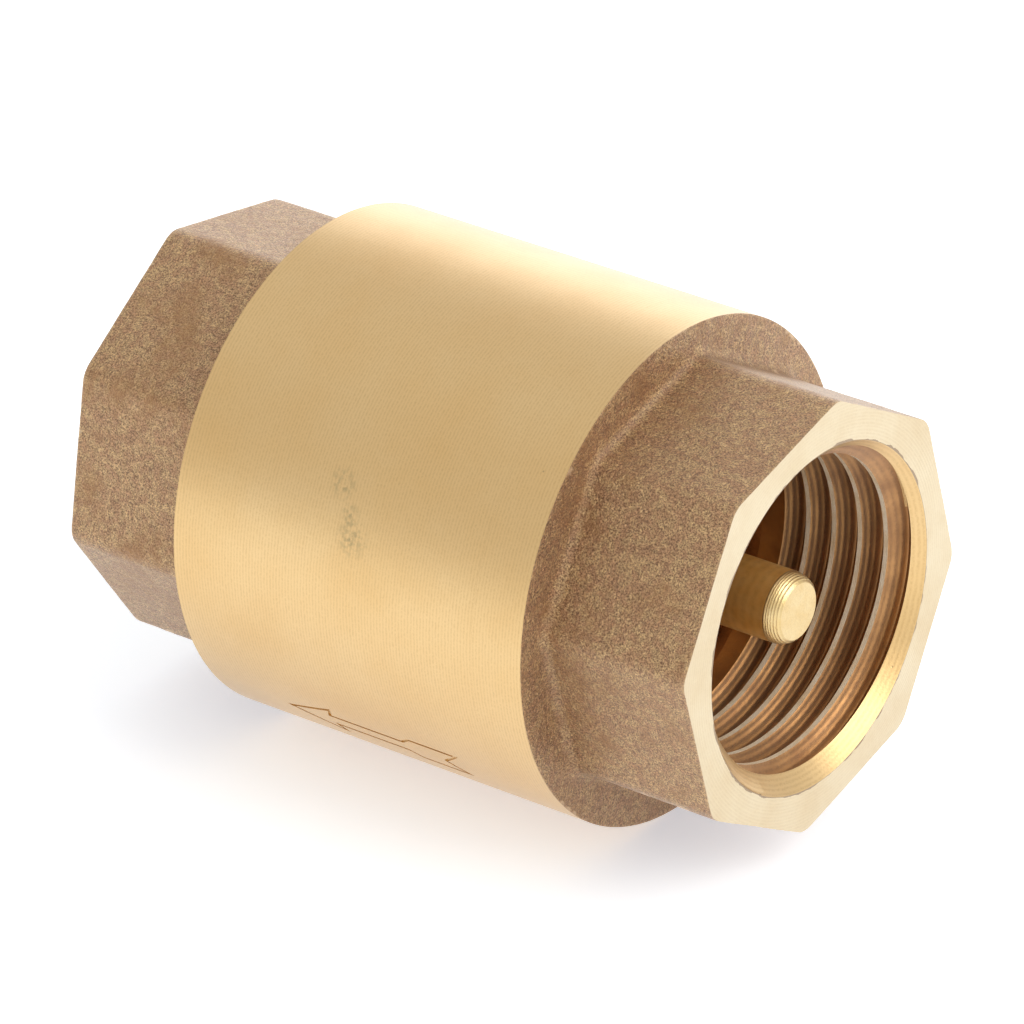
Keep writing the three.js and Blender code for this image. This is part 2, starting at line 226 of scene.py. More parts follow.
# a shot-blasted cast end, from inside the flange to past the mouth: octagon, soft fillet and flange,
# fused by remeshing at the size of the cast skin and roughened
def castEnd(name, turn):
    inside = housing["barrelEnd"] - housing["castDepth"]
    outside = housing["mouth"] + housing["allowance"]
    piece = makePrism(name, 8, housing["flats"], inside, outside, turn)
    bpy.ops.object.mode_set(mode="EDIT")
    bpy.ops.mesh.select_all(action="DESELECT")
    bpy.ops.object.mode_set(mode="OBJECT")
    for edge in piece.data.edges:
        a, b = (piece.data.vertices[v].co for v in edge.vertices)
        edge.select = abs(a.x - b.x) > mm  # the octagon's long edges
    bpy.ops.object.mode_set(mode="EDIT")
    bpy.ops.mesh.bevel(
        offset=housing["corner"] * math.tan(math.pi / 8) * mm, segments=5, affect="EDGES")
    bpy.ops.object.mode_set(mode="OBJECT")
    # the fillet: a short copy of the octagon that spreads towards the flange
    flare = piece.copy()
    flare.data = piece.data.copy()
    bpy.context.collection.objects.link(flare)
    makeActive(flare)
    bpy.ops.object.mode_set(mode="EDIT")
    for i in range(1, 5):
        angle = i * math.pi / 8
        cut = housing["barrelEnd"] + housing["fillet"] * (1 - math.sin(angle))
        bpy.ops.mesh.select_all(action="SELECT")
        bpy.ops.mesh.bisect(plane_co=(cut * mm, 0, 0), plane_no=(1, 0, 0),
                            clear_outer=(i == 1), use_fill=(i == 1))
    bpy.ops.object.mode_set(mode="OBJECT")
    for vertex in flare.data.vertices:
        rise = clampShare(1 - (vertex.co.x / mm - housing["barrelEnd"]) / housing["fillet"])
        spread = 1 + housing["fillet"] * (1 - math.sqrt(1 - rise * rise)) / (housing["flats"] / 2)
        vertex.co.y *= spread
        vertex.co.z *= spread
    flangeFace = housing["barrelEnd"] - housing["flangeSink"]
    flangeRadius = housing["barrelRadius"] + housing["allowance"]
    flange = turnPiece(name + "Flange", [
        [inside - 1, 0], [inside - 1, flangeRadius], [flangeFace, flangeRadius], [flangeFace, 0],
    ], steps=96)
    startFresh()
    for part in (flare, flange, piece):
        part.select_set(True)
    bpy.context.view_layer.objects.active = piece
    bpy.ops.object.join()
    applyModifier(piece, "REMESH", mode="VOXEL", voxel_size=housing["grain"] * mm, adaptivity=0)
    applyModifier(piece, "SMOOTH", factor=0.5, iterations=3)
    for size, height in housing["lumps"]:
        lumps = bpy.data.textures.new(f"{name}Lumps{size}", "CLOUDS")
        lumps.noise_scale = size * mm
        lumps.noise_depth = 2
        applyModifier(piece, "DISPLACE", texture=lumps, strength=height * mm, mid_level=0.5,
                      texture_coords="LOCAL")
    return piece


# the helical cutter of the pipe thread in the inlet socket: a groove section carried round by a screw
def threadCutter(turn):
    major, depth, pitch = pipeThread["major"], pipeThread["depth"], pipeThread["pitch"]
    flank, rootDrop, rootInset = pipeThread["flank"], pipeThread["rootDrop"], pipeThread["rootInset"]
    turns = math.ceil(pipeThread["length"] / pitch + 1)
    firstX = housing["mouth"] + pitch - turns * pitch
    inner = socket["bore"] - pipeThread["overcut"]
    rootHalf = (pitch / 2 - depth * flank) / 2
    mouthHalf = rootHalf + (major - inner) * flank
    half = [
        (mouthHalf, inner), (rootHalf + rootDrop * flank, major - rootDrop), (rootHalf - rootInset, major),
    ]
    section = [(-along, radius) for along, radius in half] + half[::-1]
    cutter = drawOutline([(firstX + along, radius, 0) for along, radius in section])
    bpy.ops.object.mode_set(mode="OBJECT")
    applyModifier(cutter, "SCREW", axis="X", angle=2 * math.pi, screw_offset=pitch * mm,
                  iterations=turns, steps=96, render_steps=96, use_smooth_shade=False)
    applyPlace(cutter, Matrix.Rotation(math.radians(turn), 4, "X"))
    endX = housing["mouth"] - pipeThread["length"]
    floor = pipeThread["fadeFloor"]
    for vertex in cutter.data.vertices:
        radius = math.hypot(vertex.co.y, vertex.co.z) / mm
        left = clampShare((vertex.co.x / mm - endX + pitch) / (pipeThread["fade"] * pitch))
        limit = socket["bore"] - floor + (depth + floor) * math.sin(left * math.pi / 2)
        if radius > limit:
            vertex.co.y *= limit / radius
            vertex.co.z *= limit / radius
    bpy.ops.object.mode_set(mode="EDIT")
    bpy.ops.mesh.select_all(action="SELECT")
    bpy.ops.mesh.fill_holes(sides=0)
    turnOutwards()
    return cutter


# corners of a pipe socket's turned hollow at the inlet end, from the relief groove out to past the mouth
def socketOutline():
    chamfer = socket["mouthRadius"] - socket["bore"]
    return [
        [socket["reliefInner"], socket["reliefRadius"]],
        [socket["reliefOuter"], socket["reliefRadius"]],
        [socket["reliefOuter"], socket["bore"]],
        [housing["mouth"] - chamfer, socket["bore"]],
        [housing["mouth"] + 1, socket["mouthRadius"] + 1],
        [housing["mouth"] + 1, 0],
    ]


def turnRound(piece):  # to the other end of the valve
    applyPlace(piece, Matrix.Rotation(math.pi, 4, "Z"))
    return piece


arrow = {
    "length": 13.0, "headLength": 3.9, "headWidth": 3.1, "wingSweep": 0.35,
    "shaftWidth": 1.3, "tailLength": 4.4, "tailWidth": 2.5, "tailFlare": 0.7,
    "notch": 1.3, "line": 0.2, "depth": 0.1, "turn": 220.4, "centre": -0.65,
}


# the engraved outline of the flow arrow: a flat arrow is inset, its middle removed, and the band that is
# left is thickened and trimmed to follow the barrel
def arrowCutter():
    tip = arrow["length"] / 2
    neck = tip - arrow["headLength"]
    tailStart = arrow["tailLength"] - tip
    side = [
        (tip, 0), (neck, arrow["headWidth"] / 2), (neck + arrow["wingSweep"], arrow["shaftWidth"] / 2),
        (tailStart, arrow["shaftWidth"] / 2), (tailStart - arrow["tailFlare"], arrow["tailWidth"] / 2),
        (-tip, arrow["tailWidth"] / 2), (arrow["notch"] - tip, 0),
    ]
    corners = side + [(along, -across) for along, across in reversed(side[1:-1])]
    band = drawOutline([(along, across, 0) for along, across in corners])
    bpy.ops.mesh.edge_face_add()
    bpy.ops.mesh.inset(thickness=arrow["line"] * mm, depth=0)
    bpy.ops.mesh.delete(type="FACE")
    bpy.ops.mesh.select_all(action="SELECT")
    thickness = 2
    bpy.ops.mesh.extrude_region_move(TRANSFORM_OT_translate={"value": (0, 0, thickness * mm)})
    turnOutwards()
    radius = housing["barrelRadius"]
    place = Matrix.Translation((arrow["centre"] * mm, 0, (radius - thickness / 2) * mm))
    stand = Matrix.Rotation(math.radians(arrow["turn"] - 90), 4, "X")
    applyPlace(band, stand @ place @ Matrix.Rotation(math.pi, 4, "Z"))
    floor = radius - arrow["depth"]
    end = arrow["length"] - 1
    shell = turnPiece("arrowShell", [
        [-end, floor], [end, floor], [end, radius + thickness], [-end, radius + thickness],
    ], steps=256)
    cutWith(band, shell, "INTERSECT")
    return band


# the lathe's cut over the octagon and the end of the barrel, from the barrel's surface to the mouth's face
def endTrim():
    radius = housing["barrelRadius"]
    shoulder = housing["barrelEnd"] + housing["shoulder"]
    return [
        [shoulder, radius], [shoulder, radius - housing["shoulderDrop"]],
        [housing["mouth"], radius - housing["shoulderDrop"]], [housing["mouth"], 0],
    ]


# the casting of the inlet end is fused to its turned skirt, trimmed by the lathe, bored and threaded
def makeInletCap():
    coreRadius = housing["barrelRadius"] + housing["coreAllowance"]
    skirt, groove = chamber["skirtRadius"], chamber["grooveRadius"]
    face = housing["seam"] + housing["capFace"]
    cap = castEnd("inletCap", housing["inletTurn"])
    coreStart = chamber["skirtStart"] - 0.5
    core = turnPiece("capCore", [
        [coreStart, 0], [coreStart, coreRadius], [housing["coreEnd"], coreRadius], [housing["coreEnd"], 0],
    ])
    cutWith(cap, core, "UNION")
    trim = turnPiece("capTrim", [
        [chamber["skirtStart"], 0], [chamber["skirtStart"], skirt],
        [chamber["grooveStart"], skirt], [chamber["grooveStart"], groove],
        [chamber["grooveEnd"], groove], [chamber["grooveEnd"], skirt],
        [face, skirt], [face, housing["barrelRadius"]],
    ] + endTrim(), steps=256)
    cutWith(cap, trim, "INTERSECT")
    hollowStart = chamber["skirtStart"] - 1
    hollow = turnPiece("capHollow", [
        [hollowStart, 0], [hollowStart, chamber["capRadius"]],
        [socket["webInner"], chamber["capRadius"]], [socket["webInner"], chamber["webRadius"]],
        [chamber["seatFace"], chamber["webRadius"]], [chamber["seatFace"], chamber["portRadius"]],
        [chamber["portEnd"], chamber["portRadius"]], [chamber["portEnd"], chamber["webRadius"]],
        [socket["reliefInner"], chamber["webRadius"]],
    ] + socketOutline())
    cutWith(cap, hollow)
    cutWith(cap, threadCutter(pipeThread["inletTurn"]))
    return cap


# the main casting: outlet end, barrel, chamber, thread and engraved arrow
def makeValveBody():
    coreRadius = housing["barrelRadius"] + housing["coreAllowance"]
    face = housing["seam"] + housing["bodyFace"]
    pastSeam = housing["seam"] + 1
    body = turnRound(castEnd("valveBody", 180 - housing["outletTurn"]))
    core = turnPiece("bodyCore", [
        [-housing["coreEnd"], 0], [-housing["coreEnd"], coreRadius], [pastSeam, coreRadius], [pastSeam, 0],
    ])
    cutWith(body, core, "UNION")
    trim = turnPiece("bodyTrim", [[face, 0], [face, housing["barrelRadius"]]]
                     + [[-x, radius] for x, radius in endTrim()], steps=256)
    cutWith(body, trim, "INTERSECT")
    cutWith(body, arrowCutter())
    outletSide = [[-x, radius] for x, radius in reversed(socketOutline())]
    hollow = turnPiece("bodyHollow", outletSide + [
        [-socket["reliefInner"], chamber["webRadius"]], [-socket["webInner"], chamber["webRadius"]],
        [-socket["webInner"], chamber["bodyRadius"]], [chamber["counterboreStart"], chamber["bodyRadius"]],
        [chamber["counterboreStart"], chamber["counterboreRadius"]],
        [pastSeam, chamber["counterboreRadius"]], [pastSeam, 0],
    ])
    cutWith(body, hollow)
    cutWith(body, turnRound(threadCutter(pipeThread["outletTurn"])))
    return body


inletCap = makeInletCap()
print("inlet cap made", len(inletCap.data.polygons))
valveBody = makeValveBody()
print("valve body made", len(valveBody.data.polygons))


touchGap = 0.05                 # between pieces that would touch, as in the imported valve
stemSizes = {
    "radius": 2.15, "clearance": 0.05, "chamfer": 0.37, "chamferLength": 1.0,
    "collarThickness": 0.75, "threadPitch": 0.5, "threadDepth": 0.18, "threadLead": 0.6,
    "tipRings": 6, "ringDepth": 0.03, "ringRise": 0.05, "ringFall": 0.02,
    "tipEdge": 0.05, "tipEdgeDrop": 0.07,
}
stemHole = stemSizes["radius"] + stemSizes["clearance"]


# the drawn rod: turned tips, a collar, and a fine thread under the nut
def makeStem():
    back, front, radius = reach("stem")
    rod = stemSizes["radius"]
    tip = rod - stemSizes["chamfer"]
    chamferLength = stemSizes["chamferLength"]
    collarBack = reach("seal_washer")[1] + touchGap
    collarFront = collarBack + stemSizes["collarThickness"]
    nutBack, nutFront, _ = reach("stem_nut")
    outline = [[back, 0], [back, tip], [back + chamferLength, rod]]
    place = nutBack - stemSizes["threadLead"]
    while place < nutFront:
        valley = place + stemSizes["threadPitch"] / 2
        outline += [[place, rod], [valley, rod - stemSizes["threadDepth"]]]
        place += stemSizes["threadPitch"]
    outline += [
        [place, rod], [collarBack, rod], [collarBack, radius], [collarFront, radius],
        [collarFront, rod], [front - chamferLength, rod],
    ]
    for i in range(1, stemSizes["tipRings"]):
        share = i / stemSizes["tipRings"]
        ringX = front - chamferLength * (1 - share)
        ringRadius = rod - stemSizes["chamfer"] * share * share
        outline += [
            [ringX - stemSizes["ringRise"], ringRadius], [ringX, ringRadius - stemSizes["ringDepth"]],
            [ringX + stemSizes["ringFall"], ringRadius],
        ]
    outline += [[front - stemSizes["tipEdge"], tip], [front, tip - stemSizes["tipEdgeDrop"]], [front, 0]]
    return turnPiece("stemRod", outline, steps=96)


guideSizes = {  # "clear" keeps the hub's front just off the nut when the valve is fully open
    "inlet_guide": {
        "hub": 3.4, "ringInner": 6.5, "thickness": 1.2, "armWidth": 2.0, "edge": 0.12, "clear": 0,
    },
    "outlet_guide": {
        "hub": 3.4, "ringInner": 8.1, "thickness": 1.4, "armWidth": 2.4, "edge": 0.15, "clear": 0.04,
    },
}
armShare = 0.999                # of the ring's thickness, so that no face of an arm lies in the ring's


# a turned ring and hub joined by three arms, bored for the stem
def makeGuide(node, name, ringBack):
    size = guideSizes[node]
    back, front, radius = reach(node)
    ringFront = ringBack + size["thickness"]
    guide = turnPiece(name, [
        [ringBack, size["ringInner"]], [ringFront, size["ringInner"]],
        [ringFront, radius], [ringBack, radius],
    ], steps=128)
    hubFront = front - size["clear"]
    hub = turnPiece("hub", [
        [back, 0], [back, size["hub"]], [hubFront, size["hub"]], [hubFront, 0],
    ], steps=96)
    cutWith(guide, hub, "UNION")
    armLength = (size["ringInner"] + radius) / 2
    for i in range(3):
        startFresh()
        bpy.ops.mesh.primitive_cube_add(size=1)
        arm = bpy.context.object
        arm.scale = (size["thickness"] * mm * armShare, size["armWidth"] * mm, armLength * mm)
        arm.location = ((ringBack + ringFront) / 2 * mm, 0, armLength / 2 * mm)
        bpy.ops.object.transform_apply(location=True, rotation=True, scale=True)
        applyPlace(arm, Matrix.Rotation(2 * math.pi * i / 3, 4, "X"))
        cutWith(guide, arm, "UNION")
    bore = turnPiece("bore", [
        [back - 1, 0], [back - 1, stemHole], [front + 1, stemHole], [front + 1, 0],
    ], steps=96)
    cutWith(guide, bore)
    applyModifier(guide, "BEVEL", width=size["edge"] * mm, segments=2, limit_method="ANGLE",
                  angle_limit=math.radians(50))
    return guide


ringSizes = {"points": 40, "flash": 0.02, "inset": 0.01}


def makeRing():  # the O-ring, with a thin parting line on both faces
    back, front, radius = reach("body_o_ring")
    wire = (front - back) / 2
    points, inset = ringSizes["points"], ringSizes["inset"]
    outline = []
    for i in range(points):
        angle = 2 * math.pi * i / points
        flash = ringSizes["flash"] if i % (points // 2) == points // 4 else 0.0
        outline.append([(back + front) / 2 + (wire - inset + flash / 2) * math.sin(angle),
                        radius - wire + (wire - 2 * inset) * math.cos(angle)])
    return turnPiece("bodyRing", outline, steps=160)


washerEdge = 0.12


def makeWasher():
    back, front, radius = reach("seal_washer")
    return turnPiece("sealWasher", [
        [back, stemHole], [front, stemHole], [front, radius], [back, radius],
    ], steps=128, rounding=washerEdge)


sealSizes = {"rise": 0.15, "riseStart": 6.0, "riseEnd": 6.5, "rim": 0.2, "rimDepth": 0.25, "edge": 0.08}


def makeSeal():  # a flat moulded disc with a slightly raised sealing face
    back, front, radius = reach("disc_seal")
    face = front - sealSizes["rise"]
    return turnPiece("discSeal", [
        [back, stemHole], [face, stemHole], [face, sealSizes["riseStart"]], [front, sealSizes["riseEnd"]],
        [front, radius - sealSizes["rim"]], [front - sealSizes["rimDepth"], radius], [back, radius],
    ], steps=160, rounding=sealSizes["edge"])


discSizes = {
    "rim": 0.5, "chamferLength": 0.6, "chamfer": 0.9, "recessOuter": 5.9, "recessInner": 4.35,
    "recessDepth": 0.12, "recessSlope": 0.15, "edge": 0.07,
}


def makeDisc():  # a turned cup that holds the seal, with a shallow recess in its back
    back, front, radius = reach("disc")
    floor = reach("disc_seal")[0] - touchGap
    recess, slope = back + discSizes["recessDepth"], discSizes["recessSlope"]
    return turnPiece("sealDisc", [
        [back, stemHole], [floor, stemHole], [floor, radius - discSizes["rim"]],
        [front, radius - discSizes["rim"]], [front, radius],
        [back + discSizes["chamferLength"], radius], [back, radius - discSizes["chamfer"]],
        [back, discSizes["recessOuter"]], [recess, discSizes["recessOuter"] - slope],
        [recess, discSizes["recessInner"] + slope], [back, discSizes["recessInner"]],
    ], steps=160, rounding=discSizes["edge"])


nutSizes = {
    "flats": 7.0, "crown": 3.98, "crownFace": 3.2, "crownDepth": 0.35, "sink": 0.45, "sinkDepth": 0.3,
    "past": 0.1, "edge": 0.06,
}


# a hexagon whose corners are turned off at both faces, bored and countersunk
def makeNut():
    back, front, _ = reach("stem_nut")
    outBack, outFront = back - nutSizes["past"], front + nutSizes["past"]
    nut = makePrism("stemNut", 6, nutSizes["flats"], back, front, 30)
    for name, faceRadius, radius, depth, operation in (
        ("crown", nutSizes["crownFace"], nutSizes["crown"], nutSizes["crownDepth"], "INTERSECT"),
        ("hole", stemHole + nutSizes["sink"], stemHole, nutSizes["sinkDepth"], "DIFFERENCE"),
    ):
        tool = turnPiece(name, [
            [outBack, 0], [outBack, faceRadius], [back + depth, radius], [front - depth, radius],
            [outFront, faceRadius], [outFront, 0],
        ], steps=96)
        cutWith(nut, tool, operation)
    applyModifier(nut, "BEVEL", width=nutSizes["edge"] * mm, segments=2, limit_method="ANGLE",
                  angle_limit=math.radians(25))
    return nut


springSizes = {
    "wire": 0.8, "turns": 5.5, "closed": 1.0, "closedPitch": 0.85, "perTurn": 36, "ground": 0.2,
    "grindRadius": 9,
}


# the coil is a curve of one spline, thickened to the wire, with its ends ground flat
def makeSpring():
    back, front, outside = reach("spring")
    wire, closed, ground = springSizes["wire"], springSizes["closed"], springSizes["ground"]
    radius = outside - wire / 2
    openTurns = springSizes["turns"] - 2 * closed
    travel = front - back - wire + 2 * ground
    openPitch = (travel - 2 * closed * springSizes["closedPitch"]) / openTurns
    startFresh()
    bpy.ops.curve.primitive_nurbs_path_add()
    spring = bpy.context.object
    spring.name = "returnSpring"
    curve = spring.data
    curve.splines.clear()
    count = int(springSizes["turns"] * springSizes["perTurn"]) + 1
    spline = curve.splines.new("POLY")
    spline.points.add(count - 1)
    for i in range(count):
        turned = i / springSizes["perTurn"]
        first = min(turned, closed)
        last = max(0.0, turned - closed - openTurns)
        middle = turned - first - last
        x = back - ground + wire / 2 + springSizes["closedPitch"] * (first + last) + openPitch * middle
        angle = 2 * math.pi * turned
        spline.points[i].co = (x * mm, radius * math.cos(angle) * mm, radius * math.sin(angle) * mm, 1)
    curve.dimensions = "3D"
    curve.bevel_depth = wire / 2 * mm
    curve.bevel_resolution = 5
    curve.use_fill_caps = True
    makeActive(spring)
    bpy.ops.object.convert(target="MESH")
    bpy.ops.object.mode_set(mode="EDIT")
    bpy.ops.mesh.select_all(action="SELECT")
    bpy.ops.mesh.remove_doubles(threshold=weld)
    bpy.ops.mesh.fill_holes(sides=0)
    bpy.ops.mesh.normals_make_consistent(inside=False)
    bpy.ops.object.mode_set(mode="OBJECT")
    grind = springSizes["grindRadius"]
    for near, far in ((back - 2, back), (front, front + 2)):
        wheel = turnPiece("grind", [[near, 0], [near, grind], [far, grind], [far, 0]], steps=64)
        cutWith(spring, wheel)
    return spring


stemRod = makeStem()
inletGuide = makeGuide("inlet_guide", "inletGuide", reach("inlet_guide")[0])
outletGuide = makeGuide("outlet_guide", "outletGuide", -socket["webInner"] + touchGap)
bodyRing = makeRing()
sealWasher = makeWasher()
discSeal = makeSeal()
sealDisc = makeDisc()
stemNut = makeNut()
returnSpring = makeSpring()
print("inner pieces made")


def linear(hexColour):
    parts = [int(hexColour[i:i + 2], 16) / 255 for i in (1, 3, 5)]
    return [c / 12.92 if c <= 0.04045 else ((c + 0.055) / 1.055) ** 2.4 for c in parts] + [1.0]


# adds one shader node and sets its inputs, given by name or as a list in their order: a value is set, and
# another node's output is joined
def addNode(tree, kind, inputs=(), **settings):
    node = tree.nodes.new("ShaderNode" + kind)
    for key, value in settings.items():
        setattr(node, key, value)
    for key, value in (inputs if isinstance(inputs, dict) else dict(enumerate(inputs))).items():
        if isinstance(value, bpy.types.NodeSocket):
            tree.links.new(value, node.inputs[key])
        else:
            node.inputs[key].default_value = value
    return node


def newMaterial(name):
    material = bpy.data.materials.new(name)
    material.use_nodes = True
    tree = material.node_tree
    tree.nodes.clear()
    return material, tree, addNode(tree, "TexCoord").outputs["Object"]


def finishMaterial(material, inputs):
    shader = addNode(material.node_tree, "BsdfPrincipled", inputs)
    addNode(material.node_tree, "OutputMaterial", {"Surface": shader.outputs["BSDF"]})
    return material


# lays colours over a first one, each by its own amount from 0 to 1
def layColours(tree, first, layers):
    colour = linear(first)
    for amount, second in layers:
        second = linear(second) if isinstance(second, str) else second
        mixed = {0: amount, 6: colour, 7: second}
        colour = addNode(tree, "Mix", mixed, data_type="RGBA").outputs[2]
    return colour


# lays reliefs over each other, each a pattern from 0 to 1 and its height in mm
def layReliefs(tree, reliefs):
    inputs = {"Strength": 1.0}
    for pattern, height in reliefs:
        inputs |= {"Height": pattern, "Distance": height * mm}
        inputs["Normal"] = addNode(tree, "Bump", inputs).outputs["Normal"]
    return inputs["Normal"]


# one number that grows along the bore, or outwards from it, for marks that a lathe leaves
def latheTravel(tree, place, outwards):
    parts = addNode(tree, "SeparateXYZ", [place])
    if not outwards:
        return parts.outputs["X"]
    flat = addNode(tree, "CombineXYZ", {"Y": parts.outputs["Y"], "Z": parts.outputs["Z"]})
    return addNode(tree, "VectorMath", [flat.outputs[0]], operation="LENGTH").outputs["Value"]


# where dirt is caught along the burr of an edge at some radius in mm
def edgeDirt(tree, place, travel, edgeRadius):
    outside = addNode(tree, "Math", [travel, edgeRadius * mm], operation="SUBTRACT").outputs[0]
    away = addNode(tree, "Math", [outside], operation="ABSOLUTE").outputs[0]
    patch = {"Vector": place, "Scale": 1 / (1.6 * mm), "Detail": 4.0}
    patchy = addNode(tree, "TexNoise", patch).outputs["Fac"]
    width = addNode(tree, "MapRange", [patchy, 0.45, 0.62, 0.03 * mm, 0.16 * mm]).outputs[0]
    near = addNode(tree, "Math", [away, width], operation="LESS_THAN").outputs[0]
    return addNode(tree, "Math", [near, 0.75], operation="MULTIPLY").outputs[0]


# a thumb mark, broken up by the surface under it and fading from its middle: place and radius in mm
def thumbMark(tree, place, middle, radius):
    middle = [part * mm for part in middle]
    away = addNode(tree, "VectorMath", [place, middle], operation="DISTANCE").outputs["Value"]
    fade = addNode(tree, "MapRange", [away, 0, radius * mm, 0.62, 0.0]).outputs[0]
    dabs = {"Vector": place, "Scale": 1 / (0.3 * mm), "Detail": 4.0}
    dab = addNode(tree, "TexNoise", dabs).outputs["Fac"]
    broken = addNode(tree, "MapRange", [dab, 0.42, 0.66]).outputs[0]
    return addNode(tree, "Math", [fade, broken], operation="MULTIPLY").outputs[0]


wavePeriod = 0.314159           # of a wave texture of scale 1


# Brass turned on a lathe: satin gold, crossed by fine rings that the tool left, with a soft tarnish, sparse
# pits and a thin clear oxide film that pales it where it is seen at a low angle.
def turnedBrass(name, look):
    material, tree, place = newMaterial(name)
    travel = latheTravel(tree, place, look["outwards"])
    lengthwise = addNode(tree, "CombineXYZ", [travel]).outputs[0] if look["outwards"] else place
    rings = addNode(tree, "TexWave", {
        "Vector": lengthwise, "Scale": wavePeriod / (look["ringPitch"] * mm), "Distortion": 2.2,
        "Detail": 3.0, "Detail Scale": 1.6, "Detail Roughness": 0.7,
    }).outputs["Fac"]
    grain = addNode(tree, "TexNoise", {
        "Vector": place, "Scale": 1 / (look["grain"] * mm), "Detail": 3.0, "Roughness": 0.65,
    }).outputs["Fac"]
    cloud = addNode(tree, "TexNoise", {
        "Vector": place, "Scale": 1 / (look["cloud"] * mm), "Detail": 4.0, "Roughness": 0.6,
    }).outputs["Fac"]
    tarnished = addNode(tree, "MapRange", [cloud, 0.35, 0.7]).outputs[0]
    rough = addNode(tree, "MapRange", [cloud, 0.3, 0.7, *look["roughness"]]).outputs[0]
    grainy = addNode(tree, "MapRange", [grain, 0.3, 0.7]).outputs[0]
    fine = addNode(tree, "Math", [rings, grainy], operation="MULTIPLY").outputs[0]
    lined = addNode(tree, "MapRange", [fine, 0.0, 0.8, 0.0, look["lines"]]).outputs[0]
    cells = addNode(tree, "TexVoronoi", {
        "Vector": place, "Scale": 1 / (look["speckGap"] * mm), "Randomness": 1.0,
    })
    spot = addNode(tree, "MapRange", [
        cells.outputs["Distance"], look["speck"], look["speck"] * 0.5, 0.0, 1.0,
    ]).outputs[0]
    luck = addNode(tree, "SeparateColor", [cells.outputs["Color"]]).outputs["Red"]
    lucky = addNode(tree, "MapRange", [luck, 0.75, 0.95]).outputs[0]
    isSpeck = addNode(tree, "Math", [spot, lucky], operation="MULTIPLY").outputs[0]
    layers = [(tarnished, look["tarnish"]), (lined, look["lineColour"]), (isSpeck, look["speckColour"])]
    if "edgeRadius" in look:
        layers.append((edgeDirt(tree, place, travel, look["edgeRadius"]), look["speckColour"]))
    for middle, radius in look.get("thumbMarks", []):
        layers.append((thumbMark(tree, place, middle, radius), look["thumbColour"]))
    return finishMaterial(material, {
        "Base Color": layColours(tree, look["colour"], layers),
        "Roughness": rough,
        "Metallic": look.get("metallic", 1.0),
        "Coat Weight": look.get("film", 0.9),
        "Coat Roughness": 0.4,
        "Normal": layReliefs(tree, [
            (rings, look["ringHeight"]), (grain, look["grainHeight"]), (isSpeck, -0.02),
        ]),
    })


# Sand-cast brass, shot-blasted: matt tan skin of small dents, its grain browner where it lies low, painted
# darker as shade where the surface is concave, paler along the edges as edge wear and a painted highlight,
# with patches of brown tarnish and a dusty oxide that pales it at a low angle.
def blastedBrass(name, look):
    material, tree, place = newMaterial(name)
    dents = addNode(tree, "TexVoronoi", {
        "Vector": place, "Scale": 1 / (look["dent"] * mm), "Randomness": 1.0,
    }, feature="SMOOTH_F1").outputs["Distance"]
    grain = addNode(tree, "TexNoise", {
        "Vector": place, "Scale": 1 / (look["grain"] * mm), "Detail": 4.0, "Roughness": 0.75,
    }).outputs["Fac"]
    cloud = addNode(tree, "TexNoise", {
        "Vector": place, "Scale": 1 / (look["cloud"] * mm), "Detail": 4.0, "Roughness": 0.6,
    }).outputs["Fac"]
    hue = addNode(tree, "TexNoise", {
        "Vector": place, "Scale": 1 / (look["hueSize"] * mm), "Detail": 3.0,
    }).outputs["Fac"]
    bend = addNode(tree, "NewGeometry").outputs["Pointiness"]
    redder = addNode(tree, "MapRange", [hue, 0.4, 0.6]).outputs[0]
    raised = addNode(tree, "MapRange", [grain, 0.38, 0.62]).outputs[0]
    tarnished = addNode(tree, "MapRange", [cloud, 0.5, 0.75, 0.0, 0.75]).outputs[0]
    # paler along convex edges: part edge wear, part a painted highlight along the corners
    rubbedAndHighlit = addNode(tree, "MapRange", [bend, 0.51, 0.58, 0.0, 0.6]).outputs[0]
    # darker where the surface is concave, as in the fillet by the flange: painted shade
    concaveShade = addNode(tree, "MapRange", [bend, 0.49, 0.42, 0.0, 0.6]).outputs[0]
    crest = layColours(tree, look["crest"], [(redder, look["crestToo"])])
    return finishMaterial(material, {
        "Base Color": layColours(tree, look["hollow"], [
            (raised, crest), (tarnished, look["tarnish"]), (rubbedAndHighlit, look["rubbedAndHighlit"]), (concaveShade, look["concaveShade"]),
        ]),
        "Roughness": addNode(tree, "MapRange", [grain, 0.3, 0.7, *look["roughness"]]).outputs[0],
        "Metallic": 1.0,
        "Coat Weight": 0.7,
        "Coat Roughness": 0.5,
        "Sheen Weight": 0.12,
        "Sheen Roughness": 0.5,
        "Normal": layReliefs(tree, [(dents, look["dentHeight"]), (grain, look["grainHeight"])]),
    })


# sizes, pitches and heights are in mm, and roughness runs from its first value to its second as the pattern
# under it rises
barrelBrass = turnedBrass("turnedBrassSatin", {
    "colour": "#e3c188", "tarnish": "#dfb97b", "lineColour": "#b48d52", "lines": 0.36, "outwards": False,
    "ringPitch": 0.22, "ringHeight": 0.004, "grain": 0.14, "grainHeight": 0.01, "cloud": 9.0,
    "roughness": (0.36, 0.42), "speckGap": 2.2, "speck": 0.05, "speckColour": "#7f6a45",
    "thumbMarks": [((-1.3, -13.6, 6.9), 1.1), ((-0.3, -14.2, 5.4), 0.8), ((0.1, -14.7, 4.2), 1.3)],
    "thumbColour": "#6f6a48",
})
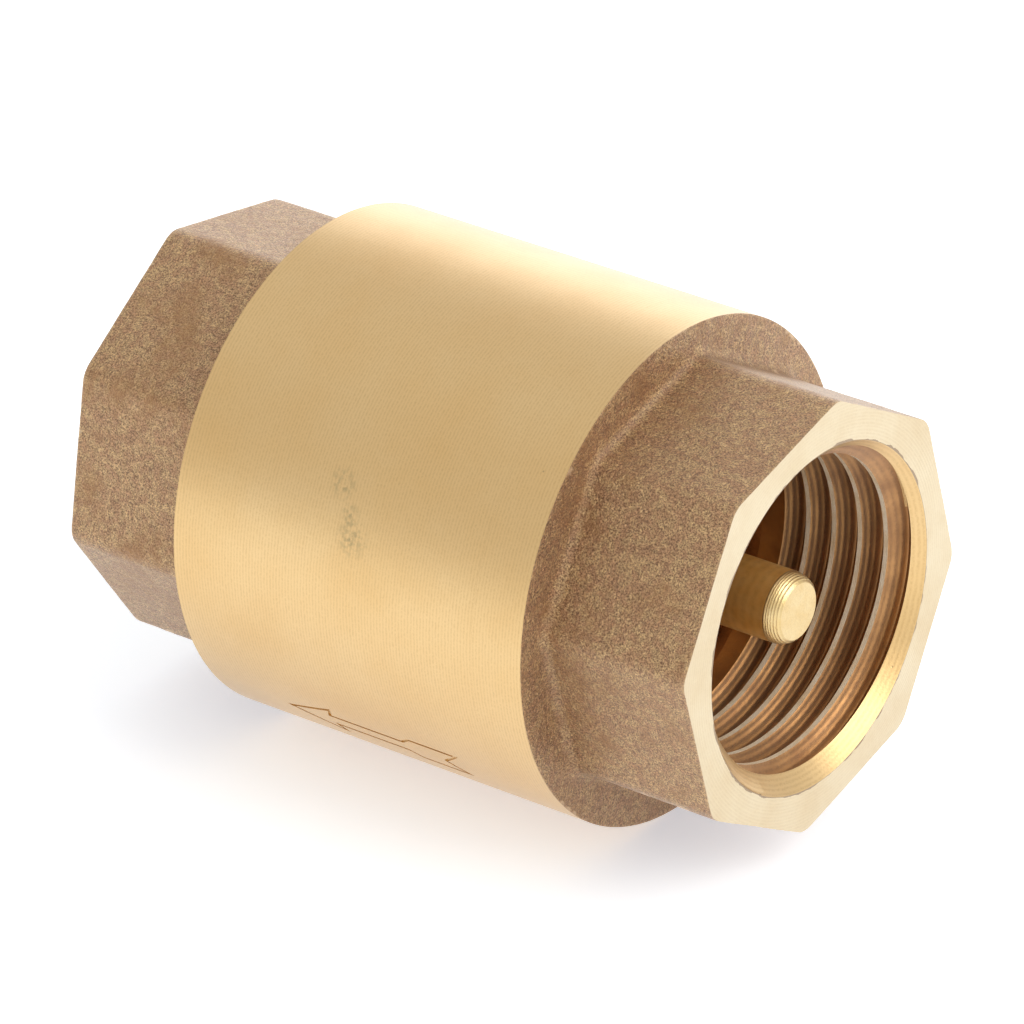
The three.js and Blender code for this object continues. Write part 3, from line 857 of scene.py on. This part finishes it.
# the end faces: a paler, less golden copy of the turned brass, a painted highlight for the glare on them
facedBrassPaintedHighlight = turnedBrass("turnedBrassFacedPaintedHighlight", {
    "colour": "#dfceac", "tarnish": "#d9c49e", "lineColour": "#b89a6c", "lines": 0.2, "outwards": True,
    "ringPitch": 0.2, "ringHeight": 0.008, "grain": 0.14, "grainHeight": 0.016, "cloud": 4.0,
    "roughness": (0.38, 0.5), "speckGap": 0.5, "speck": 0.16, "speckColour": "#7c5a38",
    "edgeRadius": socket["mouthRadius"],
})
flankBrass = turnedBrass("tappedBrassFlank", {
    "colour": "#bd8a52", "tarnish": "#9c6c3c", "lineColour": "#6e4724", "lines": 0.4, "outwards": True,
    "ringPitch": 0.37, "ringHeight": 0.01, "grain": 0.2, "grainHeight": 0.01, "cloud": 2.5,
    "roughness": (0.35, 0.45), "speckGap": 3.0, "speck": 0.05, "speckColour": "#6e4a2a",
})
# the thread's crests: a near-white, barely metallic copy of the tapped brass, a painted highlight along each
# crest
crestBrassPaintedHighlight = turnedBrass("tappedBrassCrestPaintedHighlight", {
    "colour": "#fff3dc", "tarnish": "#efd6b0", "lineColour": "#c8a67c", "lines": 0.5, "outwards": False,
    "ringPitch": 0.1, "ringHeight": 0.006, "grain": 0.15, "grainHeight": 0.01, "cloud": 1.5,
    "roughness": (0.5, 0.6), "speckGap": 3.0, "speck": 0.05, "speckColour": "#6e4a2a", "metallic": 0.1,
})
# the colour for rubbed edges paints edge wear together with a highlight along the corners
castBrass = blastedBrass("castBrassBlasted", {
    "hollow": "#6f4f34", "crest": "#e2bd88", "crestToo": "#cfa276", "tarnish": "#a07342",
    # the deep colour is painted shade in concave places
    "rubbedAndHighlit": "#e8cba4", "concaveShade": "#5a3c26", "dent": 0.2, "dentHeight": 0.08, "grain": 0.1,
    "grainHeight": 0.07, "cloud": 4.0, "hueSize": 0.55, "roughness": (0.55, 0.4),
})
drawnBrass = turnedBrass("drawnBrassRod", {
    "colour": "#f7c474", "tarnish": "#e8ac55", "lineColour": "#b37a34", "lines": 0.25, "outwards": False,
    "ringPitch": 0.6, "ringHeight": 0.002, "grain": 0.3, "grainHeight": 0.006, "cloud": 1.5,
    "roughness": (0.36, 0.46), "speckGap": 1.2, "speck": 0.06, "speckColour": "#7a4e20",
    "metallic": 0.7, "film": 0.2,
})
rodTipBrass = turnedBrass("turnedBrassTip", {
    "colour": "#e8cf98", "tarnish": "#dfbe7c", "lineColour": "#a98245", "lines": 0.3, "outwards": False,
    "ringPitch": 0.15, "ringHeight": 0.01, "grain": 0.12, "grainHeight": 0.014, "cloud": 1.5,
    "roughness": (0.3, 0.4), "speckGap": 1.0, "speck": 0.05, "speckColour": "#a87a3c",
})
innerBrass = turnedBrass("turnedBrassPlain", {
    "colour": "#dcb679", "tarnish": "#c99c5c", "lineColour": "#a57c44", "lines": 0.35, "outwards": True,
    "ringPitch": 0.2, "ringHeight": 0.006, "grain": 0.2, "grainHeight": 0.005, "cloud": 4.0,
    "roughness": (0.28, 0.38), "speckGap": 3.0, "speck": 0.04, "speckColour": "#8a6438",
})


# Nitrile rubber, compression moulded: black, satin, with a fine bloom of dust.
def mouldedRubber():
    material, tree, place = newMaterial("nitrileRubberMoulded")
    dust = addNode(tree, "TexNoise", {
        "Vector": place, "Scale": 1 / (1.4 * mm), "Detail": 5.0, "Roughness": 0.6,
    }).outputs["Fac"]
    dusty = addNode(tree, "MapRange", [dust, 0.45, 0.75]).outputs[0]
    return finishMaterial(material, {
        "Base Color": layColours(tree, "#161617", [(dusty, "#2b2b2d")]),
        "Roughness": addNode(tree, "MapRange", [dust, 0.3, 0.7, 0.45, 0.62]).outputs[0],
        "IOR": 1.5,
        "Normal": layReliefs(tree, [(dust, 0.01)]),
    })


# Stainless spring wire, drawn and coiled: bright grey, faintly mottled.
def drawnSteel():
    material, tree, place = newMaterial("stainlessSteelDrawn")
    streak = addNode(tree, "TexNoise", {
        "Vector": place, "Scale": 1 / (0.3 * mm), "Detail": 3.0,
    }).outputs["Fac"]
    return finishMaterial(material, {
        "Base Color": layColours(tree, "#c6c7c9", [(streak, "#a9abae")]),
        "Roughness": addNode(tree, "MapRange", [streak, 0.3, 0.7, 0.2, 0.32]).outputs[0],
        "Metallic": 1.0,
        "Normal": layReliefs(tree, [(streak, 0.004)]),
    })


blackRubber = mouldedRubber()
springSteel = drawnSteel()


# gives each face of a piece the finish that a rule picks from its middle (x and radius in mm) and normal
def finishFaces(piece, finishes, pick):
    piece.data.materials.clear()
    for finish in finishes.values():
        piece.data.materials.append(finish)
    order = list(finishes)
    for face in piece.data.polygons:
        radius = math.hypot(face.center.y, face.center.z) / mm
        face.material_index = order.index(pick(face.center.x / mm, radius, face.normal))


castingFinishes = {
    "cast": castBrass, "barrel": barrelBrass, "faced": facedBrassPaintedHighlight, "flank": flankBrass,
    "inner": innerBrass, "crest": crestBrassPaintedHighlight,
}
onSurface = 0.02                # a face this near to a turned surface, in mm, belongs to it
nearSurface = 0.05


# the arrow's walls and the mouth's chamfer are finished like the barrel
def castingFinish(x, radius, normal):
    fromMiddle = abs(x)
    fromMouth = housing["mouth"] - fromMiddle
    outer, end = housing["barrelRadius"], housing["barrelEnd"]
    bore, mouthRadius = socket["bore"], socket["mouthRadius"]
    facesOut = abs(normal.x) < 0.5
    if radius > outer - 0.3 and fromMiddle < end - 0.2:
        return "barrel"
    if radius > outer - 0.1 and fromMiddle < end and facesOut:
        return "barrel"
    # the end face gets the paler faced finish, a painted highlight
    if fromMouth < onSurface and radius > mouthRadius - 0.3:
        return "faced"
    inMouth = radius < mouthRadius + nearSurface and fromMouth < mouthRadius - bore + onSurface
    if inMouth and abs(normal.x) > 0.6 and radius > bore + onSurface:
        return "barrel"
    if fromMiddle > socket["reliefInner"] - nearSurface and radius < socket["reliefRadius"] + nearSurface:
        # crests get the near-white finish, a painted highlight
        isCrest = radius < bore + 0.03 and abs(normal.x) < 0.3
        return "crest" if isCrest and fromMouth < pipeThread["length"] else "flank"
    return "cast" if fromMiddle > end - 0.4 else "inner"


def rodFinish(x, radius, normal):
    back, front, _ = reach("stem")
    atTip = x > front - stemSizes["chamferLength"] or x < back + stemSizes["chamferLength"]
    return "tip" if atTip else "rod"


for casting in (inletCap, valveBody):
    finishFaces(casting, castingFinishes, castingFinish)
finishFaces(stemRod, {"rod": drawnBrass, "tip": rodTipBrass}, rodFinish)
for finish, pieces in (
    (innerBrass, (inletGuide, outletGuide, sealWasher, sealDisc, stemNut)),
    (blackRubber, (bodyRing, discSeal)),
    (springSteel, (returnSpring,)),
):
    for piece in pieces:
        piece.data.materials.clear()
        piece.data.materials.append(finish)
print("finishes set")


for piece, node, body, slotName in (
    (valveBody, "valve_body", "housing", "body_brass"),
    (inletCap, "inlet_cap", "housing", "body_brass"),
    (bodyRing, "body_o_ring", "housing", "nitrile_rubber"),
    (inletGuide, "inlet_guide", "housing", "turned_brass"),
    (outletGuide, "outlet_guide", "housing", "turned_brass"),
    (returnSpring, "spring", "housing", "spring_steel"),
    (stemRod, "stem", "poppet", "stem_brass"),
    (sealWasher, "seal_washer", "poppet", "turned_brass"),
    (discSeal, "disc_seal", "poppet", "nitrile_rubber"),
    (sealDisc, "disc", "poppet", "turned_brass"),
    (stemNut, "stem_nut", "poppet", "turned_brass"),
):
    smoothByAngle(piece)
    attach(piece, body)
    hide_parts(node)
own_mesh(returnSpring)
print("pieces placed")


studio = {
    "floorSize": 12.0, "floorColour": "#f6f5f3", "fibreColour": "#f2f1ee", "fibreScale": 400.0,
    "tableGlow": 0.4, "glowColour": (0.9, 1, 1.15, 1), "world": 0.78, "worldColour": (1.0, 0.99, 0.97, 1.0),
}


# White paper sweep lit from below by a light table: matt, with a faint fibre.
def litPaper():
    material, tree, place = newMaterial("paperSweep")
    fibre = addNode(tree, "TexNoise", {
        "Vector": place, "Scale": studio["fibreScale"], "Detail": 2.0,
    }).outputs["Fac"]
    return finishMaterial(material, {
        "Base Color": layColours(tree, studio["floorColour"], [(fibre, studio["fibreColour"])]),
        "Roughness": 0.9,
        "Emission Color": studio["glowColour"],
        "Emission Strength": studio["tableGlow"],
    })


startFresh()
bpy.ops.mesh.primitive_plane_add(size=studio["floorSize"], location=(0, 0, -housing["barrelRadius"] * mm))
floor = bpy.context.object
floor.name = "studioFloor"
floor.data.materials.append(litPaper())

world = bpy.data.worlds.new("studioWorld")
bpy.context.scene.world = world
world.use_nodes = True
background = world.node_tree.nodes["Background"]
background.inputs["Color"].default_value = studio["worldColour"]
background.inputs["Strength"].default_value = studio["world"]

# soft boxes: place in metres, the size of each side, and watts
for name, place, size, power in (
    ("rightBox", (1.1, 0.2, 0.8), 1.0, 9.0),
    ("leftBox", (-1.25, 0.1, 0.55), 0.8, 1.0),
    ("backBox", (-0.9, 1.4, 0.3), 1.2, 5.0),
):
    light = bpy.data.lights.new(name, "AREA")
    light.shape = "SQUARE"
    light.size = size
    light.energy = power
    lamp = bpy.data.objects.new(name, light)
    lamp.location = place
    lamp.rotation_euler = (-Vector(place)).to_track_quat("-Z", "Y").to_euler()
    bpy.context.collection.objects.link(lamp)

view = {"azimuth": 37.15, "elevation": 26.78, "place": (0.25731, -0.33917, 0.21487), "lens": 289.7}
camera = bpy.data.objects.new("camera", bpy.data.cameras.new("camera"))
camera.data.lens = view["lens"]
camera.data.sensor_width = 36
camera.data.clip_start = 0.01
camera.location = view["place"]
camera.rotation_euler = (math.radians(90 - view["elevation"]), 0, math.radians(view["azimuth"]))
bpy.context.collection.objects.link(camera)
bpy.context.scene.camera = camera
bpy.context.scene.view_settings.view_transform = "Standard"
print("studio ready")
